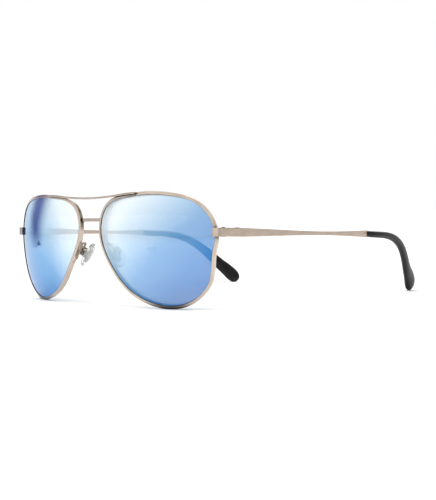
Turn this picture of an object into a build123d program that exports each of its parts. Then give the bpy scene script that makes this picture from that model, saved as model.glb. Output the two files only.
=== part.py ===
from build123d import *
import os
from math import cos, radians, sin, sqrt

# Aviator sunglasses: a thin wire front with two curved lenses, temples that fold on
# screw hinges, and nose pads that rock in their pad boxes.
# Millimetres and degrees. The wearer's left half is drawn and then mirrored.
# Drawing frame: origin midway between the lens centres, +X to the wearer's left,
# +Y back along the temples, +Z up. The last step stands the finished frame on its
# rims and temple tips, with the origin under the middle of its bounding box.

# ---- Driving dimensions ------------------------------------------------------------

LENS_CENTRE_X = 37.8        # half the distance between the lens centres
WRAP = 11.6                 # each lens turns back towards its temple
LEAN = 3.6                  # top of each lens leans forward
BASE_RADIUS = 88.0          # spherical front of the lenses (six base curve)
STAND_TILT = 1.46           # whole frame leans back until rims and tips both touch down

# Outer edge of the eyewire, square on to the lens: +u towards the temple, +v up
EYEWIRE_OUTLINE = [
    (27.9, 0.0), (24.4, 14.1), (18.5, 18.5), (11.8, 20.4), (0.0, 21.6),
    (-14.5, 20.7), (-27.8, 16.0), (-31.3, 6.7), (-25.4, -6.8), (-15.0, -17.8),
    (-2.0, -23.3), (13.3, -23.0), (24.7, -14.2),
]
OUTLINE_STEPS = 24          # points taken on the outline when it is moved inwards

RIM_WIDTH = 1.15            # eyewire, seen from the front
RIM_DEPTH = 1.9             # eyewire, front to back
GROOVE_DEPTH = 0.45         # lens groove cut into the eyewire's inner wall
GROOVE_FRONT = 0.25         # groove walls, measured back from the eyewire's front
GROOVE_BACK = 1.65
LENS_PLAY = 0.02            # gap all round the lens in its groove
CAP_ANGLE = 26.0            # half angle of the dome that the lens is cut from
RIM_SPLIT = 0.12            # saw cut that lets the lens in

STRIP_HEIGHT = 3.36         # end piece and front of the temple
STRIP_THICK = 1.1
CORNER = (65.85, 9.0, 6.0)  # where the end piece turns the corner, mid-thickness
TEMPLE_SPLAY = 4.95         # temples open outwards
TEMPLE_DROP = 0.7           # and run slightly down
SEAM = 10.8                 # corner to the joint line between end piece and temple
SEAM_GAP = 0.05

KNUCKLE_RADIUS = 1.25
KNUCKLE_GAP = 0.05          # between moving hinge faces
KNUCKLE_HEIGHT = 1.0        # the temple's middle knuckle
HINGE_HEIGHT = 3.3
LEAF_LENGTH = 3.4
LEAF_RELIEF = 1.45          # leaf metal keeps this far from the pin
SCREW_RADIUS = 0.6
SCREW_PLAY = 0.04           # running fit of the temple knuckle on the screw
HEAD_RADIUS = 0.95
HEAD_HEIGHT = 0.45
HEAD_SUNK = 0.25
SLOT_WIDTH = 0.22           # screwdriver slots
SLOT_DEPTH = 0.2

METAL_LENGTH = 77.9         # corner to the mouth of the temple tip
CORE_RADIUS = 0.65          # temple wire inside the tip
CORE_STOP = 9.0             # wire ends this far short of the tip's end
TIP_RUNS = (4.7, 23.1, 35.0)     # lengths of the runs that the tip's centreline follows
TIP_INWARD = (0.0, 16.0, 32.7)   # turn of each run towards the head
TIP_DOWN = (0.0, 3.4, 41.6)      # and downwards
TIP_RADII = (19.7, 33.5)         # bends between the runs
TIP_END_LENGTH = 5.0             # rounded end of the tip
TIP_BLUNT = 2.2                  # 2 is an oval end and more is a squarer one

WIRE_RADIUS = 0.45          # pad arms
BROW_RADIUS = 0.4

PAD_CENTRE = (9.3, 5.3, -3.6)
PAD_LENGTH = 11.7
PAD_WIDTH = 6.9
PAD_THICK = 2.0
PAD_LEAN = 38.0             # pads open downwards
PAD_SPLAY = 30.0            # and backwards
POST_THICK = 1.4            # lug on the pad's insert, held in the pad box
POST_REACH = 2.3
BOX_WALL = 0.45
BOX_PLAY = 0.1
PAD_SCREW_RADIUS = 0.45
PAD_SCREW_PLAY = 0.04


# ---- Frames of reference -------------------------------------------------------------

def turned(inward, down):
    """Direction along the temple, turned towards the head and downwards."""
    a, b = radians(inward), radians(down)
    return Vector(-sin(a) * cos(b), cos(a) * cos(b), -sin(b))


wrap, lean = radians(WRAP), radians(LEAN)
LENS_PLANE = Plane(
    origin=(LENS_CENTRE_X, 0, 0),
    x_dir=(cos(wrap), sin(wrap), 0),
    z_dir=(sin(wrap) * cos(lean), -cos(wrap) * cos(lean), -sin(lean)),
)

# Temple frame: x outwards from the temple, y back along it, z up the hinge pin
splay, drop = radians(TEMPLE_SPLAY), radians(TEMPLE_DROP)
TEMPLE_PLANE = Plane(
    origin=CORNER,
    x_dir=(cos(splay), -sin(splay), 0),
    z_dir=(sin(splay) * sin(drop), cos(splay) * sin(drop), cos(drop)),
)
HALF_STRIP = STRIP_THICK / 2
PIN_X = -HALF_STRIP - KNUCKLE_GAP - KNUCKLE_RADIUS
PIN_Y = SEAM

# Pad frame: x along the pad from top to bottom, z out of its face towards the nose
pad_down = Vector(sin(radians(PAD_LEAN)), 0, -cos(radians(PAD_LEAN)))
pad_back = Vector(sin(radians(PAD_SPLAY)), cos(radians(PAD_SPLAY)), 0)
PAD_PLANE = Plane(origin=PAD_CENTRE, x_dir=pad_down, z_dir=pad_back.cross(pad_down))


# ---- Helpers -------------------------------------------------------------------------

def block(x, y, z):
    """Box between pairs of limits."""
    centre = ((x[0] + x[1]) / 2, (y[0] + y[1]) / 2, (z[0] + z[1]) / 2)
    return Pos(*centre) * Box(x[1] - x[0], y[1] - y[0], z[1] - z[0])


def rod(radius, x, y, z):
    """Upright cylinder between two heights."""
    return Pos(x, y, (z[0] + z[1]) / 2) * Cylinder(radius, z[1] - z[0])


def screw(radius, bottom, top):
    """Upright slotted screw with its head on top: the head stands HEAD_SUNK below top."""
    shank = rod(radius, 0, 0, (bottom, top - HEAD_SUNK))
    head_top = top - HEAD_SUNK + HEAD_HEIGHT
    head = rod(HEAD_RADIUS, 0, 0, (top - HEAD_SUNK, head_top))
    slot = block((-HEAD_RADIUS, HEAD_RADIUS), (-SLOT_WIDTH / 2, SLOT_WIDTH / 2),
                 (head_top - SLOT_DEPTH, head_top))
    return shank + head - slot


def wire(radius, points, radii):
    """Round wire along straight runs joined by tangent arcs."""
    path = FilletPolyline(*points, radius=list(radii))
    start = Plane(origin=path @ 0, z_dir=path % 0)
    return sweep(start * Circle(radius), path=path)


# ---- Lenses and eyewires ---------------------------------------------------------------

outline = Spline(*EYEWIRE_OUTLINE, periodic=True)


def dome_block(inset):
    """Solid inside the outline moved in by inset, its walls square to the domed front."""
    faces = []
    for height in (-14.0, 3.0):
        points = []
        for i in range(OUTLINE_STEPS):
            p, t = outline @ (i / OUTLINE_STEPS), outline % (i / OUTLINE_STEPS)
            u, v = p.X - t.Y * inset, p.Y + t.X * inset
            sag = (u * u + v * v) / (2 * BASE_RADIUS)
            spread = (BASE_RADIUS + height) / (BASE_RADIUS - sag)
            points.append((u * spread, v * spread, height))
        faces.append(Face(Wire([Spline(*points, periodic=True)])))
    return loft(faces, ruled=True)


def dome_shell(front, back):
    """Spherical cap between two depths behind the eyewire's front, wider than the outline."""
    def at(radius, angle):
        return (radius * sin(radians(angle)), 0, radius * cos(radians(angle)) - BASE_RADIUS)

    outer, inner = BASE_RADIUS - front, BASE_RADIUS - back
    profile = make_face([
        Line(at(inner, 0), at(outer, 0)),
        ThreePointArc(at(outer, 0), at(outer, CAP_ANGLE / 2), at(outer, CAP_ANGLE)),
        Line(at(outer, CAP_ANGLE), at(inner, CAP_ANGLE)),
        ThreePointArc(at(inner, CAP_ANGLE), at(inner, CAP_ANGLE / 2), at(inner, 0)),
    ])
    return revolve(profile, Axis.Z)


def make_lens():
    edge = RIM_WIDTH - GROOVE_DEPTH + LENS_PLAY
    lens = dome_block(edge) & dome_shell(GROOVE_FRONT + LENS_PLAY, GROOVE_BACK - LENS_PLAY)
    return LENS_PLANE.location * lens


def make_rim():
    ring = (dome_block(0) - dome_block(RIM_WIDTH)) & dome_shell(0, RIM_DEPTH)
    groove = dome_block(RIM_WIDTH - GROOVE_DEPTH) & dome_shell(GROOVE_FRONT, GROOVE_BACK)
    saw_cut = block((-6, 2), (-2, 5), (-RIM_SPLIT / 2, RIM_SPLIT / 2))
    return LENS_PLANE.location * (ring - groove) - TEMPLE_PLANE.location * saw_cut


lens, rim = make_lens(), make_rim()
# The whole space that eyewire and lens fill, which what is soldered on is fitted to
eye = LENS_PLANE.location * (dome_block(0) & dome_shell(0, RIM_DEPTH))


# ---- End piece and rim lock ------------------------------------------------------------

LEG_REACH = 3.0             # front leg of the end piece, inboard of the corner
LEG_SLOPE = 0.72            # the leg's tip stands this far forward of the corner
LEG_THICK = 1.7             # before it is fitted to the eyewire
OUTER_BEND = 1.4
INNER_BEND = 0.4


def make_end_piece():
    inboard = HALF_STRIP - LEG_REACH
    plan = Polygon(
        (inboard, -LEG_SLOPE), (HALF_STRIP, 0), (HALF_STRIP, SEAM), (-HALF_STRIP, SEAM),
        (-HALF_STRIP, LEG_THICK - 0.35), (inboard - 0.1, LEG_THICK - LEG_SLOPE),
        align=None,
    )
    corners = plan.vertices()
    outer = corners.sort_by_distance((HALF_STRIP, 0))[0]
    inner = corners.sort_by_distance((-HALF_STRIP, LEG_THICK - 0.35))[0]
    plan = fillet(outer, OUTER_BEND)
    inner = plan.vertices().sort_by_distance(inner.center())[0]
    plan = fillet(inner, INNER_BEND)
    strip = Pos(0, 0, -STRIP_HEIGHT / 2) * extrude(plan, STRIP_HEIGHT)
    return TEMPLE_PLANE.location * strip - eye


LOCK_X = (-2.95, -HALF_STRIP)
LOCK_Y = (1.8, 5.6)
LOCK_HEIGHT = 1.6
LOCK_SCREW_AT = (-1.75, 4.1)
LOCK_SCREW_TOP = 2.0        # the screw's point shows above the end piece


def make_rim_lock():
    """Upper block, lower block and the screw that pulls them together from below."""
    split = RIM_SPLIT / 2
    place = Pos(*LOCK_SCREW_AT, 0)
    hole = place * Cylinder(SCREW_RADIUS, 3 * LOCK_HEIGHT)
    recess = place * rod(HEAD_RADIUS, 0, 0, (-LOCK_HEIGHT, HEAD_SUNK - LOCK_HEIGHT))
    upper = block(LOCK_X, LOCK_Y, (split, LOCK_HEIGHT)) - hole
    lower = block(LOCK_X, LOCK_Y, (-LOCK_HEIGHT, -split)) - hole - recess
    fixing = place * Rot(180, 0, 0) * screw(SCREW_RADIUS, -LOCK_SCREW_TOP, LOCK_HEIGHT)
    seat = TEMPLE_PLANE.location
    return seat * upper - eye, seat * lower - eye, seat * fixing


end_piece = make_end_piece()
rim_lock_upper, rim_lock_lower, rim_lock_screw = make_rim_lock()


# ---- Hinge -----------------------------------------------------------------------------

def make_hinge():
    """Front leaf with two knuckles, temple leaf with one, and the hinge screw."""
    half, middle = HINGE_HEIGHT / 2, KNUCKLE_HEIGHT / 2
    reach = (PIN_X, -HALF_STRIP)
    pin = (PIN_X, PIN_Y)

    front = rod(KNUCKLE_RADIUS, *pin, (-half, half))
    front += block(reach, (PIN_Y - LEAF_LENGTH, PIN_Y), (-half, half))
    gap = middle + KNUCKLE_GAP
    front -= block((PIN_X - 2, 0), (PIN_Y - LEAF_RELIEF, PIN_Y + 2), (-gap, gap))
    front -= rod(SCREW_RADIUS, *pin, (-2 * half, 2 * half))
    front -= rod(HEAD_RADIUS, *pin, (half - HEAD_SUNK, 2 * half))

    leaf = rod(KNUCKLE_RADIUS, *pin, (-middle, middle))
    leaf += block(reach, (PIN_Y, PIN_Y + LEAF_LENGTH), (-middle, middle))
    leaf += block(reach, (PIN_Y + LEAF_RELIEF, PIN_Y + LEAF_LENGTH), (-1.5, 1.5))
    leaf -= rod(SCREW_RADIUS + SCREW_PLAY, *pin, (-half, half))

    pivot = Pos(*pin, 0) * screw(SCREW_RADIUS, -half, half)
    seat = TEMPLE_PLANE.location
    return seat * front, seat * leaf, seat * pivot


hinge_front, hinge_temple, hinge_screw = make_hinge()


# ---- Temple and temple tip ---------------------------------------------------------------

# Half height of the pressed wire along the temple: waisted two thirds of the way back
TEMPLE_EDGE = [(SEAM + SEAM_GAP, 1.68), (33.0, 1.1), (55.0, 0.75), (69.0, 1.05), (METAL_LENGTH, 1.41)]


def tip_corners():
    """Corners of the runs that the tip's centreline follows, in the temple frame."""
    corner = Vector(0, METAL_LENGTH, 0)
    corners = [corner]
    for length, inward, down in zip(TIP_RUNS, TIP_INWARD, TIP_DOWN):
        corner = corner + turned(inward, down) * length
        corners.append(corner)
    return corners


def make_temple():
    top = Spline(*TEMPLE_EDGE)
    bottom = Spline(*[(y, -h) for y, h in TEMPLE_EDGE])
    ends = [Line(top @ 0, bottom @ 0), Line(top @ 1, bottom @ 1)]
    side = make_face([top, bottom, *ends])
    side_view = Plane(origin=(-HALF_STRIP, 0, 0), x_dir=(0, 1, 0), z_dir=(1, 0, 0))
    strip = extrude(side_view * side, STRIP_THICK)

    points = tip_corners()
    points[0] = points[0] - Vector(0, 2, 0)
    points[-1] = points[-1] - turned(TIP_INWARD[-1], TIP_DOWN[-1]) * CORE_STOP
    core = wire(CORE_RADIUS, points, TIP_RADII)
    return strip + core, core


def tip_section(path, s, height, thick, twist, rise):
    """Oval across the tip at distance s along it, its upper edge leaning outwards by twist."""
    at = path.position_at(s, position_mode=PositionMode.LENGTH)
    along = path.tangent_at(s, position_mode=PositionMode.LENGTH)
    out = along.cross(Vector(0, 0, 1)).normalized()
    up = out.cross(along)
    a = radians(twist)
    edge_on = up * cos(a) + out * sin(a)
    section = Plane(origin=at + edge_on * rise, x_dir=edge_on.cross(along), z_dir=along)
    return section * Ellipse(thick / 2, height / 2)


def make_tip(core):
    path = FilletPolyline(*tip_corners(), radius=list(TIP_RADII))
    length = path.length
    # distance along the tip, height, thickness, twist, shift towards the outer edge
    body = [(0, 2.5, 2.3, 0, 0), (10, 2.7, 2.4, 0, 0), (20, 3.1, 2.6, 2, 0), (30, 3.8, 2.8, 5, 0.05),
            (41, 4.9, 2.9, 9, 0.15), (50, 6.1, 3.1, 14, 0.3), (length - TIP_END_LENGTH, 7.3, 3.2, 20, 0.5)]
    sections = [tip_section(path, *station) for station in body]
    for part in (0.45, 0.75, 0.93, 0.995):
        shrink = (1 - part ** TIP_BLUNT) ** (1 / TIP_BLUNT)
        s = length - TIP_END_LENGTH * (1 - part)
        sections.append(tip_section(path, s, 7.3 * shrink, 3.2 * shrink, 20, 0.5 + 0.4 * part ** 2))
    return loft(sections) - core


temple_local, core = make_temple()
temple = TEMPLE_PLANE.location * temple_local
temple_tip = TEMPLE_PLANE.location * make_tip(core)


# ---- Bridge and brow bar -----------------------------------------------------------------

BRIDGE_Z = 10.75
BRIDGE_HEIGHT = 1.35
BRIDGE_DEPTH = 1.3
BRIDGE_Y = 0.6
BRIDGE_REACH = 7.6          # half length, before it is fitted to the eyewires
FOOT = 0.8                  # flared feet under its ends


def both(shape):
    """The shape and its mirror image."""
    return shape + mirror(shape, about=Plane.YZ)


eyes = both(eye)


def make_bridge():
    low, high = BRIDGE_Z - BRIDGE_HEIGHT / 2, BRIDGE_Z + BRIDGE_HEIGHT / 2
    depth = (BRIDGE_Y - BRIDGE_DEPTH / 2, BRIDGE_Y + BRIDGE_DEPTH / 2)
    bar = block((-BRIDGE_REACH, BRIDGE_REACH), depth, (low, high))
    front = Plane(origin=(0, depth[1], 0), x_dir=(1, 0, 0), z_dir=(0, -1, 0))
    edge = 6.7
    flare = make_face([
        Line((edge, low), (edge - FOOT, low)),
        RadiusArc((edge - FOOT, low), (edge, low - FOOT), FOOT),
        Line((edge, low - FOOT), (edge, low)),
    ])
    flare += Pos(edge + 0.45, low - FOOT / 2) * Rectangle(0.9, FOOT)
    foot = extrude(front * flare, BRIDGE_DEPTH)
    return bar + both(foot) - eyes


# Half of the brow bar's route from the middle out to the top of the eyewire
BROW_ROUTE = [(0.0, -1.5, 19.3), (14.0, -1.4, 20.0), (24.0, -1.1, 20.95), (29.0, -0.7, 21.1)]
BROW_BENDS = (50.0, 95.0, 170.0, 95.0, 50.0)


def make_brow_bar():
    right = [(-x, y, z) for x, y, z in reversed(BROW_ROUTE[1:])]
    bar = wire(BROW_RADIUS, right + BROW_ROUTE, BROW_BENDS)
    return bar - eyes


bridge, brow_bar = make_bridge(), make_brow_bar()


# ---- Nose pads and their arms --------------------------------------------------------------

ARM_ROUTE = [(12.6, -0.4, -6.6), (12.1, 1.6, -5.2), (7.9, 1.5, 1.2), (7.9, 3.3, 1.2), (12.1, 3.4, -3.0)]
ARM_RADII = (1.0, 0.8, 0.8)
BOX_DEPTH = -PAD_THICK / 2 - 0.5       # mouth of the pad box, behind the pad
LUG_HEIGHT = 2.4
INSERT_LENGTH = 7.0
INSERT_WIDTH = 3.2
INSERT_THICK = 0.5


def make_pad():
    """Silicone pad, the insert moulded into it, the box that holds it and its screw."""
    outer = extrude(Ellipse(PAD_LENGTH / 2, PAD_WIDTH / 2), PAD_THICK)
    outer = fillet(outer.edges(), 0.85)
    outer = Pos(0, 0, -PAD_THICK / 2) * outer

    back = -PAD_THICK / 2
    pin_z = back - 1.35
    plate = Pos(0, 0, back + 0.8) * extrude(Ellipse(INSERT_LENGTH / 2, INSERT_WIDTH / 2), INSERT_THICK)
    lug = block((-LUG_HEIGHT / 2, LUG_HEIGHT / 2), (-POST_THICK / 2, POST_THICK / 2), (pin_z, back + 0.9))
    lug += Pos(0, 0, pin_z) * Rot(90, 0, 0) * Cylinder(LUG_HEIGHT / 2 - 0.25, POST_THICK)
    lug &= block((-LUG_HEIGHT / 2, LUG_HEIGHT / 2), (-2, 2), (back - POST_REACH, back + 1))
    bore = Pos(0, 0, pin_z) * Rot(90, 0, 0) * Cylinder(PAD_SCREW_RADIUS + PAD_SCREW_PLAY, 4)
    insert = plate + lug - bore

    width = POST_THICK / 2 + BOX_PLAY
    floor = back - POST_REACH - BOX_PLAY - 0.15
    shell = block((-1.5, 1.5), (-width - BOX_WALL, width + BOX_WALL), (floor - BOX_WALL, BOX_DEPTH))
    shell -= block((-2, 2), (-width, width), (floor, 0))
    hole = Pos(0, 0, pin_z) * Rot(90, 0, 0) * Cylinder(PAD_SCREW_RADIUS, 4)
    shell -= hole

    grip = width + BOX_WALL
    pin = Pos(0, 0, pin_z) * Rot(90, 0, 0) * Cylinder(PAD_SCREW_RADIUS, 2 * grip)
    head = Pos(0, grip + 0.2, pin_z) * Rot(90, 0, 0) * Cylinder(0.8, 0.4)
    slot = block((-1, 1), (grip + 0.25, grip + 0.5), (pin_z - 0.1, pin_z + 0.1))
    seat = PAD_PLANE.location
    around = block((-1.5, 1.5), (-grip, grip), (floor - BOX_WALL, back))
    return seat * (outer - insert), seat * insert, seat * shell, seat * (pin + head - slot), seat * around


nose_pad, pad_insert, pad_box, pad_screw, box_space = make_pad()
pad_arm = wire(WIRE_RADIUS, ARM_ROUTE, ARM_RADII) - eye - box_space


# ---- Standing the frame and writing the parts ------------------------------------------------

LEFT_HALF = {
    "rim": rim,
    "lens": lens,
    "end_piece": end_piece,
    "rim_lock_upper": rim_lock_upper,
    "rim_lock_lower": rim_lock_lower,
    "rim_lock_screw": rim_lock_screw,
    "hinge_front": hinge_front,
    "hinge_screw": hinge_screw,
    "hinge_temple": hinge_temple,
    "temple": temple,
    "temple_tip": temple_tip,
    "pad_arm": pad_arm,
    "pad_box": pad_box,
    "pad_screw": pad_screw,
    "pad_insert": pad_insert,
    "nose_pad": nose_pad,
}
nodes = {"bridge": bridge, "brow_bar": brow_bar}
for name, shape in LEFT_HALF.items():
    nodes[name + "_left"] = shape
    nodes[name + "_right"] = mirror(shape, about=Plane.YZ)

lean_back = Rot(-STAND_TILT, 0, 0)
boxes = [(lean_back * shape).bounding_box() for shape in nodes.values()]
low_y, high_y = min(b.min.Y for b in boxes), max(b.max.Y for b in boxes)
STAND = Pos(0, -(low_y + high_y) / 2, -min(b.min.Z for b in boxes)) * lean_back

os.makedirs("parts", exist_ok=True)
for name, shape in nodes.items():
    export_step(STAND * shape, f"parts/{name}.step")
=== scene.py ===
import bpy
import bmesh
import math
from mathutils import Matrix, Quaternion, Vector


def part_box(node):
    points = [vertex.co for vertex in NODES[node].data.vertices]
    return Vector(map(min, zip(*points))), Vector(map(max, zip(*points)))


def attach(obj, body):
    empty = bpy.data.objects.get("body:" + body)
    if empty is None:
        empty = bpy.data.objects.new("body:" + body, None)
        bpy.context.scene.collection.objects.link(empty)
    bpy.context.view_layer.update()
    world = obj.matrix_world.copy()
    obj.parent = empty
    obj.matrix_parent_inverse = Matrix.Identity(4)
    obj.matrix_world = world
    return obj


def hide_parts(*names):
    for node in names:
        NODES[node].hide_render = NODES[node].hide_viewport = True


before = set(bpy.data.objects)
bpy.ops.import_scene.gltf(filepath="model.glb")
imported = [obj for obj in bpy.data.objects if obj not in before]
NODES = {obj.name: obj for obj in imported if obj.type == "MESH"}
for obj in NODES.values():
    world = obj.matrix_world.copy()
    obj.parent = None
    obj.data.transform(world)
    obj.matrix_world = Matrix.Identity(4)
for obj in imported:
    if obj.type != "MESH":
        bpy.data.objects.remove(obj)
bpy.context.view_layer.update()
SIDES = ("left", "right")
STAND_TILT = 1.46           # degrees that the sunglasses lean back as they stand


# ---- Material helpers ------------------------------------------------------------------------

EDGE_ROUND = 0.00022        # metres, as all lengths here
GRAIN_SIZE, GRAIN_DEPTH = 0.00025, 0.000012
CLOUD_SIZE = 0.006
# reach of the painted shade in the corners of the metal parts
SMALL_SHADE_REACH = 0.0008
# reach of the painted shade on the lens next to the rims
LENS_SHADE_REACH = 0.0006


class Look:
    """A Principled material whose constants sit on the shader's own sockets."""

    def __init__(self, name, **settings):
        self.material = bpy.data.materials.new(name)
        self.material.use_nodes = True
        self.tree = self.material.node_tree
        self.shader = self.tree.nodes["Principled BSDF"]
        for socket, value in settings.items():
            self.shader.inputs[socket.replace("_", " ")].default_value = value

    def node(self, kind, **inputs):
        made = self.tree.nodes.new(kind)
        for socket, value in inputs.items():
            made.inputs[socket.replace("_", " ")].default_value = value
        return made

    def link(self, source, target):
        self.tree.links.new(source, target)

    def place(self, scale=(1, 1, 1)):
        """The piece's own coordinates in metres, stretched by scale."""
        coordinates = self.node("ShaderNodeTexCoord")
        mapping = self.node("ShaderNodeMapping")
        mapping.inputs["Scale"].default_value = scale
        self.link(coordinates.outputs["Object"], mapping.inputs["Vector"])
        return mapping.outputs["Vector"]

    def noise(self, size, scale=(1, 1, 1), detail=3):
        """Noise whose features are about size metres across."""
        made = self.node("ShaderNodeTexNoise", Scale=1 / size, Detail=detail)
        self.link(self.place(scale), made.inputs["Vector"])
        return made.outputs["Fac"]

    def ramp(self, source, stops):
        made = self.node("ShaderNodeValToRGB")
        elements = made.color_ramp.elements
        elements[0].position, elements[0].color = stops[0][0], (*stops[0][1], 1)
        elements[1].position, elements[1].color = stops[-1][0], (*stops[-1][1], 1)
        for at, colour in stops[1:-1]:
            elements.new(at).color = (*colour, 1)
        self.link(source, made.inputs["Fac"])
        return made.outputs["Color"]

    def colour(self, source, stops, shade_reach=0, shade_tint=None):
        """Colour from a ramp, with painted shade that darkens it within the given reach in metres of a
        corner, down to the given tint times it.
        """
        shade = self.ramp(source, stops)
        if shade_reach:
            # painted shade: ambient occlusion darkens the colour near corners and between parts
            corner = self.node("ShaderNodeAmbientOcclusion", Distance=shade_reach)
            corner.samples = 12
            self.link(shade, corner.inputs["Color"])
            shade = corner.outputs["Color"]
            if shade_tint:
                dark = self.ramp(corner.outputs["AO"], [(0.5, shade_tint), (0.85, (1, 1, 1))])
                mixed = self.node("ShaderNodeMix")
                mixed.data_type, mixed.blend_type = "RGBA", "MULTIPLY"
                mixed.inputs["Factor"].default_value = 1.0
                colours = [socket for socket in mixed.inputs if socket.type == "RGBA"]
                self.link(shade, colours[0])
                self.link(dark, colours[1])
                shade = next(socket for socket in mixed.outputs if socket.type == "RGBA")
        self.link(shade, self.shader.inputs["Base Color"])

    def rough(self, source, low, high):
        made = self.node("ShaderNodeMapRange", To_Min=low, To_Max=high)
        self.link(source, made.inputs["Value"])
        self.link(made.outputs["Result"], self.shader.inputs["Roughness"])

    def bump(self, source, depth, strength=1.0, edge=0):
        """Relief of that depth in metres, over edges that are rounded by edge metres."""
        made = self.node("ShaderNodeBump", Distance=depth, Strength=strength)
        self.link(source, made.inputs["Height"])
        if edge:
            rounded = self.node("ShaderNodeBevel", Radius=edge)
            rounded.samples = 6
            self.link(rounded.outputs["Normal"], made.inputs["Normal"])
        self.link(made.outputs["Normal"], self.shader.inputs["Normal"])


def champagne(name, streak, light, dark, low=0.2, high=0.34, edge=EDGE_ROUND,
              shade_reach=SMALL_SHADE_REACH, shade_tint=None):
    """Satin champagne plating with fine streaks left by the brushing, between two roughnesses."""
    look = Look(name, Metallic=1.0)
    grain = look.noise(GRAIN_SIZE, streak)
    clouds = look.noise(CLOUD_SIZE)
    # painted shade darkens this colour near corners, down to a dark tint where one is given
    look.colour(clouds, [(0.3, dark), (0.7, light)], shade_reach, shade_tint)
    look.rough(grain, low, high)
    look.bump(grain, GRAIN_DEPTH, 0.5, edge)
    return look.material


# ---- Metal -----------------------------------------------------------------------------------

EVEN = (1, 1, 1)               # brushing with no direction
ALONG = (1, 0.04, 1)           # brushing that runs along the temple
LIGHT_METAL = (0.56, 0.465, 0.39)
DARK_METAL = (0.47, 0.385, 0.315)
SOFT_EDGE = 0.0004
RIM_SHADE_REACH = 0.003            # painted shade: the inner walls of the rims darken this near to the lens
# darkest tint of the painted shade on the rims' inner walls
RIM_SHADE_TINT = (0.2, 0.18, 0.17)
rim_metal = champagne("rim_champagne", EVEN, LIGHT_METAL, DARK_METAL, 0.1, 0.2, SOFT_EDGE,
                      RIM_SHADE_REACH, RIM_SHADE_TINT)
plate_metal = champagne("end_champagne", EVEN, LIGHT_METAL, DARK_METAL, 0.14, 0.24, SOFT_EDGE)
# painted shade: the bridge and brow bar wear a darker copy of the same champagne plating
bridge_metal = champagne("bridge_champagne", EVEN, (0.44, 0.37, 0.315), (0.37, 0.305, 0.255),
                         0.14, 0.24, SOFT_EDGE)
temple_metal = champagne("temple_champagne", ALONG, (0.57, 0.475, 0.395), (0.49, 0.4, 0.325),
                         0.22, 0.36)
small_metal = champagne("hardware_champagne", EVEN, (0.5, 0.41, 0.34), (0.4, 0.33, 0.27), 0.18, 0.3)
screw_metal = champagne("screw_steel", EVEN, (0.32, 0.28, 0.25), (0.2, 0.18, 0.16), 0.22, 0.34)


# ---- Lens ------------------------------------------------------------------------------------

def mirror_lens(side):
    """Blue flash mirror with a painted reflection, paler towards the top and the nose and denser where it is
    seen edge on.
    """
    sign = 1 if side == "left" else -1
    low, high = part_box("lens_" + side)
    nose = min(abs(low.x), abs(high.x))
    width, height = high.x - low.x, high.z - low.z
    look = Look("mirror_lens_" + side, Metallic=1.0, Roughness=0.06)
    split = look.node("ShaderNodeSeparateXYZ")
    mapping = look.node("ShaderNodeMapping")
    mapping.inputs["Location"].default_value = (-nose / width, 0, high.z / height)
    mapping.inputs["Scale"].default_value = (sign / width, 1, -1 / height)
    coordinates = look.node("ShaderNodeTexCoord")
    look.link(coordinates.outputs["Object"], mapping.inputs["Vector"])
    look.link(mapping.outputs["Vector"], split.inputs["Vector"])
    across = look.node("ShaderNodeMath")
    across.operation = "MULTIPLY"
    across.inputs[1].default_value = 0.5
    look.link(split.outputs["X"], across.inputs[0])
    down = look.node("ShaderNodeMath")
    down.operation = "MULTIPLY_ADD"
    down.inputs[1].default_value = 0.5
    look.link(split.outputs["Z"], down.inputs[0])
    look.link(across.outputs["Value"], down.inputs[2])
    # blue mirror colour, whose near-white top and nose are a painted reflection of the bright light, with
    # painted shade near the rims
    look.colour(down.outputs["Value"], [
        (0.0, (0.86, 0.92, 0.95)), (0.2, (0.72, 0.83, 0.90)), (0.38, (0.40, 0.60, 0.78)),
        (0.54, (0.17, 0.39, 0.67)), (0.74, (0.07, 0.26, 0.58)), (1.0, (0.03, 0.16, 0.46))],
        shade_reach=LENS_SHADE_REACH)
    density = look.node("ShaderNodeMapRange", From_Min=0.1, From_Max=0.55, To_Min=0.33, To_Max=0.62)
    look.link(down.outputs["Value"], density.inputs["Value"])
    facing = look.node("ShaderNodeLayerWeight", Blend=0.5)
    mirror = look.node("ShaderNodeMapRange", From_Min=0.42, From_Max=0.56, To_Max=0.88)
    look.link(facing.outputs["Facing"], mirror.inputs["Value"])
    look.link(density.outputs["Result"], mirror.inputs["To Min"])
    look.link(mirror.outputs["Result"], look.shader.inputs["Alpha"])
    return look.material


# ---- Tips, pads and inserts ------------------------------------------------------------------

def tip_material():
    look = Look("tip_black", Specular_IOR_Level=0.16, Coat_Weight=0.06, Coat_Roughness=0.08)
    look.colour(look.noise(0.004), [(0.3, (0.005, 0.005, 0.0055)), (0.7, (0.011, 0.011, 0.012))])
    fine = look.noise(0.0004)
    look.rough(fine, 0.3, 0.42)
    look.bump(fine, 0.000015, 0.4)
    return look.material


def silicone():
    """Clear silicone whose colour darkens where it is seen edge on, painted shade for the dark edges it
    shows.
    """
    look = Look("pad_silicone", Transmission_Weight=0.85, IOR=1.41)
    facing = look.node("ShaderNodeLayerWeight", Blend=0.45)
    look.colour(facing.outputs["Facing"], [(0.0, (0.97, 0.97, 0.96)), (0.4, (0.86, 0.85, 0.83)),
                                           (0.8, (0.5, 0.49, 0.47)), (1.0, (0.28, 0.27, 0.26))])
    clouds = look.noise(0.0016)
    look.rough(clouds, 0.1, 0.22)
    look.bump(look.noise(0.0005), 0.00002, 0.4)
    return look.material


def insert_material():
    look = Look("insert_plastic")
    clouds = look.noise(0.0008)
    look.colour(clouds, [(0.3, (0.62, 0.62, 0.6)), (0.7, (0.75, 0.75, 0.73))])
    look.rough(clouds, 0.3, 0.45)
    return look.material


def wear(material, *names):
    for name in names:
        NODES[name].data.materials.clear()
        NODES[name].data.materials.append(material)


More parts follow.
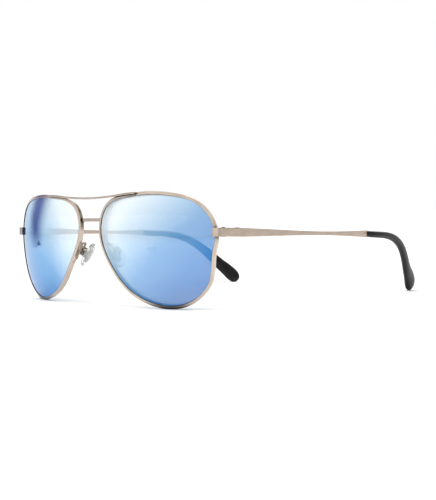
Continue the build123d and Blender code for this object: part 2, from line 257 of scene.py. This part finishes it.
tip_black, clear_pad, insert_white = tip_material(), silicone(), insert_material()
wear(bridge_metal, "bridge", "brow_bar")
for side in SIDES:
    wear(rim_metal, f"rim_{side}")
    wear(plate_metal, f"end_piece_{side}")
    wear(mirror_lens(side), f"lens_{side}")
    wear(temple_metal, f"temple_{side}")
    wear(small_metal, f"rim_lock_upper_{side}", f"rim_lock_lower_{side}", f"hinge_front_{side}",
         f"hinge_temple_{side}", f"pad_arm_{side}", f"pad_box_{side}")
    wear(screw_metal, f"rim_lock_screw_{side}", f"hinge_screw_{side}", f"pad_screw_{side}")
    wear(tip_black, f"temple_tip_{side}")
    wear(insert_white, f"pad_insert_{side}")
for node in NODES.values():
    for face in node.data.polygons:
        face.use_smooth = True


# ---- Nose pads -------------------------------------------------------------------------------

PAD_LENGTH, PAD_WIDTH, PAD_THICK = 0.0117, 0.0069, 0.002
PAD_LEAN, PAD_SPLAY = 38.0, 30.0       # as the CAD pads, which open downwards and backwards
EDGE_START = 0.86                      # share of the pad's radius that its two faces take
EDGE_HALF = 0.00068                    # half the pad's thickness at its rounded edge
PAD_TURNS, FACE_RINGS, EDGE_RINGS, BACK_RINGS = 168, 44, 9, 10
DOT_PITCH, DOT_RADIUS, DOT_HEIGHT = 0.0011, 0.00036, 0.00017
DOT_LIMIT = 0.8                        # dots stop at this share of the pad's radius


def pad_profile():
    """Share of the radius and height of each ring, from the face's middle round to the back's."""
    half = PAD_THICK / 2
    for i in range(1, FACE_RINGS + 1):
        share = i / FACE_RINGS
        yield share * EDGE_START, half - (half - EDGE_HALF) * share ** 2.2
    for i in range(1, EDGE_RINGS + 1):
        turn = math.pi * i / (EDGE_RINGS + 1)
        yield EDGE_START + (1 - EDGE_START) * math.sin(turn), EDGE_HALF * math.cos(turn)
    for i in range(BACK_RINGS):
        share = 1 - i / BACK_RINGS
        yield share * EDGE_START, -half + (half - EDGE_HALF) * share ** 2.2


def dot_height(x, y):
    """Height of the rows of small round dots moulded on the face."""
    row_step = DOT_PITCH * math.sqrt(0.75)
    row = round(y / row_step)
    shift = DOT_PITCH / 2 if row % 2 else 0
    nearest = round((x - shift) / DOT_PITCH) * DOT_PITCH + shift
    off = math.hypot(x - nearest, y - row * row_step) / DOT_RADIUS
    return DOT_HEIGHT * math.sqrt(1 - off ** 2) if off < 1 else 0


def silicone_pad(side):
    """Crowned oval pad with a rounded edge and rows of dots on the face that rests on the nose."""
    built = bmesh.new()
    rings = []
    for share, height in pad_profile():
        ring = []
        for i in range(PAD_TURNS):
            turn = 2 * math.pi * i / PAD_TURNS
            x, y = share * PAD_LENGTH / 2 * math.cos(turn), share * PAD_WIDTH / 2 * math.sin(turn)
            dot = dot_height(x, y) if height > 0 and share < DOT_LIMIT else 0
            ring.append(built.verts.new((x, y, height + dot)))
        rings.append(ring)
    for inner, outer in zip(rings, rings[1:]):
        for i in range(PAD_TURNS):
            j = (i + 1) % PAD_TURNS
            built.faces.new((inner[i], outer[i], outer[j], inner[j]))
    for ring, pole in ((rings[0], PAD_THICK / 2 + dot_height(0, 0)), (rings[-1], -PAD_THICK / 2)):
        middle = built.verts.new((0, 0, pole))
        for i in range(PAD_TURNS):
            corners = (middle, ring[i], ring[(i + 1) % PAD_TURNS])
            built.faces.new(corners if ring is rings[0] else corners[::-1])
    sign = 1 if side == "left" else -1
    lean, splay, stand = math.radians(PAD_LEAN), math.radians(PAD_SPLAY), math.radians(-STAND_TILT)
    down = Vector((sign * math.sin(lean), 0, -math.cos(lean)))
    back = Vector((sign * math.sin(splay), math.cos(splay), 0))
    face = back.cross(down).normalized() * sign
    across = face.cross(down).normalized()
    axes = Matrix.Rotation(stand, 3, "X") @ Matrix((down, across, face)).transposed()
    low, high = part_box("nose_pad_" + side)
    built.transform(Matrix.Translation((low + high) / 2) @ axes.to_4x4())
    bmesh.ops.recalc_face_normals(built, faces=built.faces)
    mesh = bpy.data.meshes.new("silicone_pad_" + side)
    built.to_mesh(mesh)
    built.free()
    mesh.materials.append(clear_pad)
    mesh.shade_smooth()
    pad = bpy.data.objects.new("silicone_pad_" + side, mesh)
    bpy.context.scene.collection.objects.link(pad)
    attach(pad, "nose_pad_" + side)
    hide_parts("nose_pad_" + side)


for side in SIDES:
    silicone_pad(side)


# ---- Studio ----------------------------------------------------------------------------------

def plain(name, colour, roughness=0.9):
    look = Look(name, Roughness=roughness)
    look.shader.inputs["Base Color"].default_value = (*colour, 1)
    look.shader.inputs["Specular IOR Level"].default_value = 0.0
    return look.material


def card(name, centre, width, height, material, roll=0):
    """An upright card that faces the sunglasses, leaning sideways by roll degrees."""
    mesh = bpy.data.meshes.new(name)
    half_w, half_h = width / 2, height / 2
    mesh.from_pydata([(-half_w, -half_h, 0), (half_w, -half_h, 0), (half_w, half_h, 0), (-half_w, half_h, 0)],
                     [], [(0, 1, 2, 3)])
    mesh.materials.append(material)
    made = bpy.data.objects.new(name, mesh)
    bpy.context.scene.collection.objects.link(made)
    made.location = centre
    facing = (Vector((0, 0, centre[2])) - Vector(centre)).to_track_quat("Z", "Y")
    made.rotation_mode = "QUATERNION"
    made.rotation_quaternion = facing @ Quaternion((0, 0, 1), math.radians(roll))
    return made


floor_mesh = bpy.data.meshes.new("floor")
HALF_FLOOR = 6.0
floor_mesh.from_pydata([(-HALF_FLOOR, -HALF_FLOOR, 0), (HALF_FLOOR, -HALF_FLOOR, 0),
                        (HALF_FLOOR, HALF_FLOOR, 0), (-HALF_FLOOR, HALF_FLOOR, 0)], [], [(0, 1, 2, 3)])
floor = bpy.data.objects.new("floor", floor_mesh)
bpy.context.scene.collection.objects.link(floor)
floor_mesh.materials.append(plain("floor_white", (0.97, 0.97, 0.97)))

world = bpy.data.worlds.new("studio")
bpy.context.scene.world = world
world.use_nodes = True
background = world.node_tree.nodes["Background"]
background.inputs["Strength"].default_value = 1.22


def surroundings(tree):
    """White room that is dimmer on the wearer's left and darker overhead, as behind a big softbox."""
    def math_node(operation, a, b, clamp=False):
        made = tree.nodes.new("ShaderNodeMath")
        made.operation, made.use_clamp = operation, clamp
        for socket, value in zip(made.inputs, (a, b)):
            if isinstance(value, (int, float)):
                socket.default_value = value
            else:
                tree.links.new(value, socket)
        return made.outputs["Value"]

    def band(source, low, high, dark):
        made = tree.nodes.new("ShaderNodeMapRange")
        made.interpolation_type = "SMOOTHSTEP"
        made.inputs["From Min"].default_value = low
        made.inputs["From Max"].default_value = high
        made.inputs["To Min"].default_value = 1.0
        made.inputs["To Max"].default_value = dark
        tree.links.new(source, made.inputs["Value"])
        return made.outputs["Result"]

    direction = tree.nodes.new("ShaderNodeTexCoord").outputs["Generated"]
    split = tree.nodes.new("ShaderNodeSeparateXYZ")
    tree.links.new(direction, split.inputs["Vector"])
    x, y, z = (split.outputs[axis] for axis in "XYZ")
    sideways = math_node("ADD", math_node("MULTIPLY", x, 0.94), math_node("MULTIPLY", y, 0.34))
    return math_node("MULTIPLY", band(sideways, 0.1, 0.6, 0.4), band(z, 0.5, 0.62, 0.1))


world.node_tree.links.new(surroundings(world.node_tree), background.inputs["Color"])


def softbox(name, azimuth, elevation, distance, size, power):
    """Area light at an azimuth and elevation, aimed at the sunglasses."""
    a, e = math.radians(azimuth), math.radians(elevation)
    data = bpy.data.lights.new(name, "AREA")
    data.shape, data.size, data.size_y, data.energy = "RECTANGLE", size[0], size[1], power
    lamp = bpy.data.objects.new(name, data)
    bpy.context.scene.collection.objects.link(lamp)
    lamp.location = (distance * math.sin(a) * math.cos(e), -distance * math.cos(a) * math.cos(e),
                     distance * math.sin(e))
    lamp.rotation_euler = (-Vector(lamp.location)).to_track_quat("-Z", "Y").to_euler()


softbox("top_light", 20, 75, 1.2, (0.5, 0.3), 4)
sun_data = bpy.data.lights.new("ceiling", "SUN")
sun_data.energy, sun_data.angle = 2.4, math.radians(100)     # a wide, soft overhead light
sun = bpy.data.objects.new("ceiling", sun_data)
bpy.context.scene.collection.objects.link(sun)


def soft_flag(half_width):
    """Dark blue cloth that thins out towards both sides and its foot."""
    look = Look("soft_flag", Roughness=0.9)
    look.shader.inputs["Base Color"].default_value = (0.012, 0.03, 0.3, 1)
    look.shader.inputs["Specular IOR Level"].default_value = 0.0
    split = look.node("ShaderNodeSeparateXYZ")
    look.link(look.place((1 / half_width, 1, 1)), split.inputs["Vector"])
    distance = look.node("ShaderNodeMath")
    distance.operation = "ABSOLUTE"
    look.link(split.outputs["X"], distance.inputs[0])
    thin = look.node("ShaderNodeMapRange", From_Min=0.05, From_Max=1.0, To_Min=0.85, To_Max=0.0)
    thin.interpolation_type = "SMOOTHSTEP"
    look.link(distance.outputs["Value"], thin.inputs["Value"])
    foot = look.node("ShaderNodeMapRange", From_Min=-0.14, From_Max=-0.07)
    foot.interpolation_type = "SMOOTHSTEP"
    look.link(split.outputs["Y"], foot.inputs["Value"])
    both = look.node("ShaderNodeMath")
    both.operation = "MULTIPLY"
    look.link(thin.outputs["Result"], both.inputs[0])
    look.link(foot.outputs["Result"], both.inputs[1])
    look.link(both.outputs["Value"], look.shader.inputs["Alpha"])
    return look.material


FLAG_WIDTH = 0.2
flag = card("flag_left", (-0.375, -0.125, 0.11), FLAG_WIDTH, 0.3, soft_flag(FLAG_WIDTH / 2), roll=24)
# The flag shows only as the dark band that the lenses reflect
flag.visible_camera = flag.visible_diffuse = flag.visible_shadow = False


def backdrop():
    """Even white all round, behind the floor, that only the camera sees."""
    dome = bmesh.new()
    bmesh.ops.create_icosphere(dome, subdivisions=4, radius=HALF_FLOOR * 0.9)
    mesh = bpy.data.meshes.new("backdrop")
    dome.to_mesh(mesh)
    dome.free()
    look = Look("backdrop_white", Roughness=1.0, Emission_Strength=1.0)
    look.shader.inputs["Base Color"].default_value = (0, 0, 0, 1)
    look.shader.inputs["Specular IOR Level"].default_value = 0.0
    look.shader.inputs["Emission Color"].default_value = (1, 1, 1, 1)
    mesh.materials.append(look.material)
    made = bpy.data.objects.new("backdrop", mesh)
    bpy.context.scene.collection.objects.link(made)
    made.visible_diffuse = made.visible_glossy = made.visible_transmission = made.visible_shadow = False


backdrop()


# ---- Camera ----------------------------------------------------------------------------------

camera_data = bpy.data.cameras.new("camera")
camera_data.sensor_width = 36
camera_data.lens = 86.3        # millimetres, as the sensor
camera = bpy.data.objects.new("camera", camera_data)
bpy.context.scene.collection.objects.link(camera)
camera.location = (0.3927, -0.36296, 0.03962)
camera.rotation_euler = (math.radians(87.885), math.radians(1.069), math.radians(47.037))
camera_data.clip_start, camera_data.clip_end = 0.01, 50
bpy.context.scene.camera = camera
bpy.context.scene.view_settings.view_transform = "Standard"
